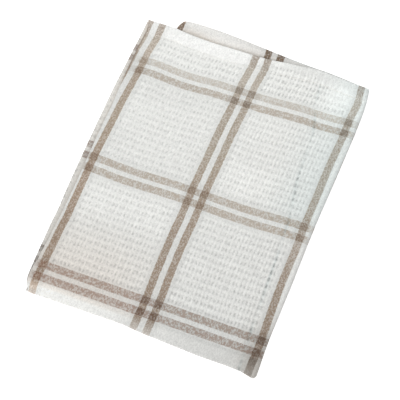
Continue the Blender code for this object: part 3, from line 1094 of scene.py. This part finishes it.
# %% Tone of the plain cloth
BESIDE_WARP_SHADE = 0.09       # beside the stripes along the cloth
BESIDE_WEFT_SHADE = {0.0: 0.09, 120.0: 0.05}
CREASE_SHADE = 0.06            # all along the crease, and how much more in its pits
CREASE_PIT_SHADE = 0.30
FINE_MOTTLE = {"amount": 0.10, "scale": 0.30, "detail": 3.0}
BROAD_MOTTLE = {"amount": 0.06, "scale": 0.045}
THREAD_CONTRAST = 0.10
PLAIN_PATCHES = (
    # painted light and shade below the lowest stripes, brighter on the left and darker on
    # the right, and the rim at the right fold
    {"across": {20.0: 0.18, 210.0: -0.12}, "along": {-6.0: 1.0, -3.0: 0.0}},
    {"across": {239.0: 0.0, 241.5: 0.17, 258.0: 0.17, 262.0: 0.0}},
    # the upper right corner is brighter, the right end of the hem darker
    {"across": {185.0: 0.0, 215.0: 0.14, 222.0: 0.14, 236.0: 0.05},
     "along": {225.0: 0.0, 265.0: 1.0, 276.0: 1.0, 288.0: 0.0}},
    {"across": {145.0: 0.0, 160.0: -0.075, 195.0: -0.075, 220.0: -0.03},
     "along": {282.0: 0.0, 288.0: 1.0}},
    # the left squares, high and low, and the lower middle of the second square
    {"across": {100.0: 1.0, 130.0: 0.0},
     "along": {198.0: 0.0, 222.0: -0.05, 236.0: -0.05, 250.0: 0.0}},
    {"across": {100.0: 1.0, 130.0: 0.0},
     "along": {62.0: 0.0, 84.0: 0.06, 100.0: 0.06, 116.0: 0.0}},
    {"across": {125.0: 0.0, 150.0: 1.0, 185.0: 1.0, 205.0: 0.0},
     "along": {132.0: 0.0, 150.0: 0.07, 162.0: 0.07, 184.0: 0.0}},
)
print(len(PLAIN_PATCHES), "patches in the plain cloth")


def plain_tone(cloth):
    """Tone of the cloth before its colour, with its painted shade and light: 1 is its plain white."""
    tone, pit_rows = painted_waffle_shade(cloth)
    tone = tone * (1.0 - cloth["beside_warp"] * BESIDE_WARP_SHADE)
    tone = tone * (1.0 - cloth["beside_weft"] * cloth["along"].through(BESIDE_WEFT_SHADE))
    tone = patched(tone, cloth, PLAIN_PATCHES)
    tone = tone * (1.0 - cloth["crease_shade_line"] * (pit_rows * CREASE_PIT_SHADE + CREASE_SHADE))
    tone = tone * (swing(cloth, **FINE_MOTTLE) + swing(cloth, **BROAD_MOTTLE) + 1.0)
    return tone * ((cloth["warp_threads"] - cloth["weft_threads"]) * THREAD_CONTRAST + 1.0)


# %% [markdown]
# ### Brown stripes
#
# The brown is palest a little below the hem, deepens towards the fold and pales again on
# the fold itself, so each stripe colour is a short table along the cloth. The paling towards
# the hem is partly a painted sheen. How much of the brown shows is a share of its own: the
# threads break it up, and patches say where it is fainter. The squares where two stripes
# cross have their own patches, because there the two browns don't simply multiply. The
# reverse side shows more of the brown warp, so it has colours of its own.

# %% Shares of brown
WARP_RUNGS = (0.66, 0.52)      # share between the rungs, and how much a rung adds
WEFT_STROKES = (0.36, 0.86)
STRIPE_MOTTLE_SCALE = 0.22
WARP_MOTTLE = {0.3: 0.95, 0.7: 1.06}
WEFT_MOTTLE = {0.3: 1.14, 0.7: 0.84}
WARP_SHARE_PATCHES = (
    {"across": {225.0: 0.0, 232.0: 1.0}, "along": {40.0: 0.0, 110.0: -0.20}},
    {"across": {20.0: 1.0, 40.0: 0.0}, "along": {232.0: 0.0, 255.0: -0.17}},
    {"across": {478.0: 0.0, 480.0: -1.0}},      # no stripe at the far selvedge
)
WEFT_SHARE_PATCHES = (
    {"along": {-330.0: -1.0, -325.0: 0.0}},     # nor at the far hem
    {"across": {5.5: -0.75, 10.5: 0.0}},
    {"across": {240.0: 0.0, 243.0: -0.5, 256.0: -0.5, 262.0: 0.0}, "along": {20.0: 0.0, 80.0: 1.0}},
    {"across": {60.0: 1.0, 130.0: 0.0}, "along": {-2.0: -0.15, 2.0: 0.0}},
)
CROSSING_PATCHES = (
    {"across": {20.0: 0.0, 60.0: -0.16}, "along": {180.0: 0.0, 225.0: 1.0}},
    {"across": {25.0: 0.27, 60.0: -0.09}, "along": {30.0: 1.0, 60.0: 0.0}},
)
# The lowest ends of the stripes along the cloth, where they reach the bottom fold, with
# painted light on the left and painted shade towards the lower right corner
LOW_END = {-8.0: 1.0, -3.0: 0.0}
LOW_END_PATCHES = (
    {"across": {35.0: 0.18, 110.0: -0.12}, "along": {-15.0: 0.0, -11.0: 1.0}},
    {"across": {130.0: 0.0, 230.0: -0.24}},
)
stripe_patches = (WARP_SHARE_PATCHES, WEFT_SHARE_PATCHES, CROSSING_PATCHES, LOW_END_PATCHES)
print(sum(len(rows) for rows in stripe_patches), "patches in the stripes")


def stripe_shares(cloth):
    """How much brown shows along the cloth and across it."""
    mottle = noise(cloth, STRIPE_MOTTLE_SCALE)
    rungs = cloth["weft_threads"] * WARP_RUNGS[1] + WARP_RUNGS[0]
    strokes = cloth["warp_threads"] * WEFT_STROKES[1] + WEFT_STROKES[0]
    warp_share = cloth["warp_stripe"] * rungs * mottle.through(WARP_MOTTLE)
    weft_share = cloth["weft_stripe"] * strokes * mottle.through(WEFT_MOTTLE)
    return (
        patched(warp_share, cloth, WARP_SHARE_PATCHES),
        patched(weft_share, cloth, WEFT_SHARE_PATCHES),
    )


def tone_in_stripes(tone, cloth):
    """Tone with its changes where stripes cross, and painted light and shade where they end."""
    tone = patched(tone, cloth, CROSSING_PATCHES, cloth["warp_stripe"] * cloth["weft_stripe"])
    low_end = cloth["along"].through(LOW_END) * cloth["warp_stripe"]
    first, second = (patch(cloth, row) for row in LOW_END_PATCHES)
    return tone * (1.0 + low_end * (first + second))


# %% Colours of the cotton
PLAIN_COLOUR = {"front": (0.825, 0.822, 0.796, 1.0), "reverse": (0.83, 0.815, 0.78, 1.0)}
# The front hem is brighter, partly its doubled white and partly a painted sheen. The reverse hem is darker:
# painted shade on the end of layer 2 that shows beyond the top hem.
HEM_COLOUR = {"front": (0.895, 0.89, 0.87, 1.0), "reverse": (0.78, 0.765, 0.74, 1.0)}
HEM_BRIGHTNESS = {125.0: 1.0, 160.0: 0.35}      # across the cloth
SHADE_COLOUR = (0.20, 0.09, 0.0, 1.0)           # what full shade would leave of the white
# Stripe colours by the place along the cloth, from the bottom fold (0) to the hem (1),
# paler towards the hem, partly as a painted sheen
CLOTH_LENGTH = 315.0
BELOW_STRIPE = 20.0
WARP_STRIPE = {
    "front": {0.0: (0.80, 0.75, 0.71, 1.0), 0.03: (0.62, 0.53, 0.46, 1.0),
              0.05: (0.46, 0.35, 0.27, 1.0), 0.20: (0.455, 0.345, 0.265, 1.0),
              0.29: (0.47, 0.36, 0.28, 1.0), 0.46: (0.505, 0.395, 0.31, 1.0),
              0.64: (0.515, 0.43, 0.345, 1.0), 0.79: (0.53, 0.44, 0.36, 1.0),
              0.89: (0.60, 0.515, 0.435, 1.0), 0.935: (0.55, 0.475, 0.40, 1.0),
              0.965: (0.46, 0.39, 0.33, 1.0)},
    "reverse": {0.0: (0.24, 0.155, 0.09, 1.0), 1.0: (0.24, 0.145, 0.075, 1.0)},
}
WEFT_STRIPE = {
    "front": {0.06: (0.53, 0.41, 0.36, 1.0), 0.44: (0.59, 0.51, 0.44, 1.0),
              0.81: (0.58, 0.50, 0.43, 1.0), 0.87: (0.73, 0.69, 0.64, 1.0)},
    "reverse": {0.0: (0.46, 0.39, 0.36, 1.0), 1.0: (0.46, 0.39, 0.36, 1.0)},
}
# Painted light colour: a little warmer low on the left and cooler high on the right
PAINTED_WARM_TINT = (0.985, 0.935, 0.90, 1.0)
PAINTED_COOL_TINT = (0.94, 0.99, 1.0, 1.0)
WARM_PATCH = {"across": {60.0: 1.0, 160.0: 0.0}, "along": {-10.5: 0.0, -6.0: 1.0, 10.0: 1.0, 90.0: 0.0}}
WARM_STRIPES = {30.0: 0.8, 40.0: 0.0}
COOL_PATCH = {"across": {175.0: 0.0, 240.0: 1.0, 250.0: 1.0, 255.0: 0.0}, "along": {110.0: 0.0, 150.0: 1.0}}
COOL_STRIPES = {"across": {100.0: 0.0, 160.0: 1.0}, "along": {20.0: 0.7, 25.0: 0.0}}
print(len(WARP_STRIPE["front"]), "colours along a stripe")


def cotton_colour(cloth, side_name):
    """Base colour: plain cloth, brown stripes, tone with painted shade, half shade and painted light tints.
    """
    warp_share, weft_share = stripe_shares(cloth)
    tone = tone_in_stripes(plain_tone(cloth), cloth)
    hem_share = cloth["smooth_hem"] * cloth["across"].through(HEM_BRIGHTNESS)
    colour = mixed(PLAIN_COLOUR[side_name], HEM_COLOUR[side_name], hem_share)

    place = (cloth["along"] + BELOW_STRIPE) / CLOTH_LENGTH
    colour = mixed(colour, by_table(place, WARP_STRIPE[side_name]), warp_share, "MULTIPLY")
    colour = mixed(colour, by_table(place, WEFT_STRIPE[side_name]), weft_share, "MULTIPLY")
    grey = tone.node("ShaderNodeCombineColor", None, {0: tone, 1: tone, 2: tone})
    colour = mixed(colour, grey, blend="MULTIPLY")
    colour = mixed(colour, SHADE_COLOUR, cloth["half_shade"], "MULTIPLY")

    # Painted light colour: warm light low on the left, cool light high on the right and in the crease shade
    warm = patch(cloth, WARM_PATCH)
    warm = warm + cloth["warp_stripe"] * cloth["across"].through(WARM_STRIPES) * (1.0 - warm)
    cool = patch(cloth, COOL_PATCH) + cloth["weft_stripe"] * patch(cloth, COOL_STRIPES)
    colour = mixed(colour, PAINTED_WARM_TINT, warm, "MULTIPLY")
    return mixed(colour, PAINTED_COOL_TINT, cool + cloth["crease_shade_line"], "MULTIPLY")


# %% [markdown]
# ### Yarn
#
# Seen close, the cloth is fine ribs both ways. They are far too small for the mesh, so a
# Bump node makes them, from a wave across the threads. Straight ribs would line up as a
# visible pattern at a distance, so noise bends them and adds some fluff.

# %% Fine ribs
COTTON_MATT = {"Roughness": 0.62, "Sheen Weight": 0.10, "Sheen Roughness": 0.5}
RIB_PITCH = 0.75               # mm
WARP_RIB_BEND = {"amount": 0.7, "scale": 0.6}       # in ribs
WEFT_RIB_BEND = {"amount": 0.7, "scale": 0.5}
RIB_HEIGHT = 0.18
FLUFF_SCALE = 1.1
FLUFF_HEIGHT = 0.35
RIB_STRENGTH = 0.55
RIB_DISTANCE = 0.45 * MM


def cotton_ribs(cloth):
    """Bump of the threads."""
    across_ribs = cloth["across"] / RIB_PITCH + swing(cloth, **WARP_RIB_BEND)
    along_ribs = cloth["along"] / RIB_PITCH + swing(cloth, **WEFT_RIB_BEND)
    ribs = abs(across_ribs.fraction() - 0.5) + abs(along_ribs.fraction() - 0.5)
    ribs = ribs * RIB_HEIGHT + noise(cloth, FLUFF_SCALE) * FLUFF_HEIGHT
    return bumped(ribs, RIB_STRENGTH, RIB_DISTANCE)


# %% Cotton, front and reverse
def make_cotton(name, side_name):
    """Woven cotton with the brown check."""
    material, shader = new_finish(name, COTTON_MATT)
    tree = material.node_tree
    cloth = places_on_cloth(tree)
    lay_check(cloth)
    tree.links.new(cotton_colour(cloth, side_name).socket, shader.inputs["Base Color"])
    tree.links.new(cotton_ribs(cloth).socket, shader.inputs["Normal"])
    return material


for side_name in ("front", "reverse"):
    cotton = make_cotton("towel_cotton_" + side_name, side_name)
    towel.data.materials.append(cotton)
    print(cotton.name, "has", len(cotton.node_tree.nodes), "nodes")

# %% [markdown]
# ## Stitches
#
# The hem is sewn with a plain running seam, whose stitches catch the light on the brown
# stripes. Each one could be modelled by hand, but there are about a hundred, all alike.
# Geometry Nodes take a point every few millimetres of the seam line, turn a small rounded
# thread along the line at each point, and shift it a little with a fixed seed.

# %% Sewing thread
THREAD_MATT = {"Roughness": 0.5}
THREAD_COLOURS = ((0.80, 0.77, 0.72, 1.0), (0.90, 0.88, 0.84, 1.0))
TWIST_SCALE = 900.0            # per metre
TWIST_STRENGTH = 0.3
TWIST_DISTANCE = 0.2 * MM


def make_thread():
    """Off-white sewing cotton, a little shinier than the cloth."""
    material, shader = new_finish("sewing_thread", THREAD_MATT)
    tree = material.node_tree
    place = add_node(tree, "ShaderNodeTexCoord").other("Object")
    twist = place.node("ShaderNodeTexNoise", None,
                       {"Vector": place, "Scale": TWIST_SCALE, "Detail": 1.0})
    tree.links.new(mixed(*THREAD_COLOURS, twist).socket, shader.inputs["Base Color"])
    tree.links.new(bumped(twist, TWIST_STRENGTH, TWIST_DISTANCE).socket, shader.inputs["Normal"])
    return material


# %% Stitches along a seam, as Geometry Nodes
STITCH_PITCH = 2.6
STITCH_LENGTH = 1.9
THREAD_WIDTH = 0.55
STITCH_WANDER = 0.12
STITCH_SEED = 11
THREAD_SHAPE = {"Segments": 8, "Rings": 6, "Radius": 0.5}


def stitch_tree(material):
    """Node tree that sews stitches along a curve."""
    tree = bpy.data.node_groups.new("seam_stitches", "GeometryNodeTree")
    face = tree.interface
    face.new_socket("Seam", in_out="INPUT", socket_type="NodeSocketGeometry")
    for title in ("Pitch", "Length", "Thread", "Wander"):
        face.new_socket(title, in_out="INPUT", socket_type="NodeSocketFloat")
    face.new_socket("Seed", in_out="INPUT", socket_type="NodeSocketInt")
    face.new_socket("Stitches", in_out="OUTPUT", socket_type="NodeSocketGeometry")

    seam = add_node(tree, "NodeGroupInput")
    length, thread, wander = (seam.other(title) for title in ("Length", "Thread", "Wander"))
    points = seam.node("GeometryNodeCurveToPoints", {"mode": "LENGTH"},
                       {"Curve": seam, "Length": seam.other("Pitch")})
    shift = seam.node("FunctionNodeRandomValue", {"data_type": "FLOAT_VECTOR"},
                      {"Min": wander * -1.0, "Max": wander, "Seed": seam.other("Seed")})
    shifted = seam.node("GeometryNodeSetPosition", None, {"Geometry": points, "Offset": shift})

    ball = seam.node("GeometryNodeMeshUVSphere", None, THREAD_SHAPE)
    size = seam.node("ShaderNodeCombineXYZ", None, {"X": thread, "Y": thread, "Z": length})
    stitch = seam.node("GeometryNodeTransform", None, {"Geometry": ball, "Scale": size})
    sewn = seam.node("GeometryNodeInstanceOnPoints", None,
                     {"Points": shifted, "Instance": stitch, "Rotation": points.other("Rotation")})
    sewn = seam.node("GeometryNodeRealizeInstances", None, {"Geometry": sewn})
    sewn = seam.node("GeometryNodeSetShadeSmooth", None, {"Geometry": sewn})
    sewn = seam.node("GeometryNodeSetMaterial", None, {"Geometry": sewn, "Material": material})
    add_node(tree, "NodeGroupOutput", None, {"Stitches": sewn})
    return tree


# %% Sew the hem
FIRST_SEWN_COLUMN = 3
STITCH_LIFT = 0.05             # of the thread's middle above the cloth


def sew_seam(name, line, material, seed):
    """Stitches along a line of points, as a plain mesh."""
    curve = bpy.data.curves.new(name + "_line", "CURVE")
    curve.dimensions = "3D"
    spline = curve.splines.new("POLY")
    spline.points.add(len(line) - 1)
    for point, place in zip(spline.points, line):
        point.co = (*place, 1.0)
    seam_line = bpy.data.objects.new(name + "_line", curve)
    bpy.context.scene.collection.objects.link(seam_line)

    tree = stitch_tree(material)
    modifier = seam_line.modifiers.new("stitches", "NODES")
    modifier.node_group = tree
    sizes = {"Pitch": STITCH_PITCH * MM, "Length": STITCH_LENGTH * MM,
             "Thread": THREAD_WIDTH * MM, "Wander": STITCH_WANDER * MM, "Seed": seed}
    for item in tree.interface.items_tree:
        if item.name in sizes:
            modifier[item.identifier] = sizes[item.name]
    evaluated = seam_line.evaluated_get(bpy.context.evaluated_depsgraph_get())
    mesh = bpy.data.meshes.new_from_object(evaluated)
    mesh.name = name
    bpy.data.objects.remove(seam_line)
    stitches = bpy.data.objects.new(name, mesh)
    bpy.context.scene.collection.objects.link(stitches)
    return stitches


stitch_row = HEM_ROWS.index(STITCH_INSET)
sewn = slice(FIRST_SEWN_COLUMN, side)
on_cloth = height[stitch_row, sewn] + thickness[stitch_row, sewn] / 2 + STITCH_LIFT
seam_points = np.stack([x[stitch_row, sewn], y[stitch_row, sewn], on_cloth], axis=1)
seam_points = seam_points * MM + TABLE_TO_MODEL
stitches = sew_seam("hem_stitches", seam_points.tolist(), make_thread(), STITCH_SEED)
print(len(stitches.data.polygons), "faces in the stitches")

# %% [markdown]
# ## Floor, light and camera
#
# The towel lies on a plain white surface with no visible shadow. The lamps' shadows could
# be switched off, but the weave would lose its relief with them. So the floor glows
# evenly instead and drowns the shadow. A soft lamp stands behind the towel, which makes
# the relief of the waffle show. Two large windows in front fill the rest, and the
# surroundings add a dim even light.

# %% Floor
FLOOR_SIZE = 40.0
FLOOR_DROP = 0.1 * MM          # below the cloth, so that the two don't coincide
WHITE_FLOOR = {
    "Base Color": (0.55, 0.55, 0.55, 1.0),
    "Roughness": 0.9,
    "Emission Color": (1.0, 1.0, 1.0, 1.0),
    "Emission Strength": 0.85,
}


def make_floor():
    """A wide white plane just under the cloth."""
    bpy.ops.mesh.primitive_plane_add(size=FLOOR_SIZE, location=(0.0, 0.0, CAD_BOX[0][2] - FLOOR_DROP))
    floor = bpy.context.active_object
    floor.name = "floor"
    material, _ = new_finish("white_floor", WHITE_FLOOR)
    floor.data.materials.append(material)
    return floor


print("the floor is called", make_floor().name)

# %% Light
# Place, side of the square and power of each lamp, in metres and watts
LAMPS = {
    "lamp_behind": {"place": (-0.10, 0.50, 0.70), "size": 0.6, "power": 5.0, "colour": (0.98, 1.0, 1.0)},
    "window_in_front": {"place": (0.0, -1.8, 1.5), "size": 1.0, "power": 28.0, "colour": (1.0, 1.0, 1.0)},
    "window_front_left": {"place": (-1.4, -1.4, 1.6), "size": 1.0, "power": 12.0,
                          "colour": (1.0, 0.98, 0.97)},
}
SURROUNDINGS = {"Color": (0.97, 0.985, 1.0, 1.0), "Strength": 0.04}


def add_soft_lamp(name, place, size, power, colour):
    """A square soft light that points at the middle of the towel."""
    light = bpy.data.lights.new(name, "AREA")
    light.shape = "SQUARE"
    light.size = size
    light.energy = power
    light.color = colour
    lamp = bpy.data.objects.new(name, light)
    lamp.location = place
    lamp.rotation_euler = (-Vector(place)).to_track_quat("-Z", "Y").to_euler()
    bpy.context.scene.collection.objects.link(lamp)


for name, lamp in LAMPS.items():
    add_soft_lamp(name, **lamp)

world = bpy.data.worlds.new("even_surroundings")
world.use_nodes = True
for title, value in SURROUNDINGS.items():
    world.node_tree.nodes["Background"].inputs[title].default_value = value
bpy.context.scene.world = world
bpy.context.scene.view_settings.view_transform = "Standard"
print(len(LAMPS), "lamps")

# %% [markdown]
# ### Camera
#
# The picture looks down on the towel, steeply and turned a little to one side. A camera
# could be placed by hand until it fits. Here two angles and a distance place it around
# the point that it aims at. They were found by fitting the places where stripes cross.

# %% Camera
VIEW_AZIMUTH = 19.1
VIEW_ELEVATION = 76.3
VIEW_DISTANCE = 0.6726
AIM_ON_TABLE = (133.7, 118.5)
FOCAL_SHARE = 665 / 400        # focal length over the width of the picture
SENSOR_WIDTH = 36.0
CLIP_START = 0.01

aim = Vector((AIM_ON_TABLE[0] * MM + TABLE_TO_MODEL[0], AIM_ON_TABLE[1] * MM + TABLE_TO_MODEL[1], 0.0))
azimuth, elevation = math.radians(VIEW_AZIMUTH), math.radians(VIEW_ELEVATION)
towards_camera = Vector((
    math.sin(azimuth) * math.cos(elevation),
    -math.cos(azimuth) * math.cos(elevation),
    math.sin(elevation),
))
camera_data = bpy.data.cameras.new("camera")
camera_data.sensor_width = SENSOR_WIDTH
camera_data.lens = SENSOR_WIDTH * FOCAL_SHARE
camera_data.clip_start = CLIP_START
camera = bpy.data.objects.new("camera", camera_data)
camera.location = aim + towards_camera * VIEW_DISTANCE
camera.rotation_euler = (-towards_camera).to_track_quat("-Z", "Y").to_euler()
bpy.context.scene.collection.objects.link(camera)
bpy.context.scene.camera = camera
print("camera at", [round(value, 3) for value in camera.location])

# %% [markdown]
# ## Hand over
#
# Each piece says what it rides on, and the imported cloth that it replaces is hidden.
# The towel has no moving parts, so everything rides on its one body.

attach(towel, "root")
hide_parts("towel_cloth")
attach(stitches, "root")
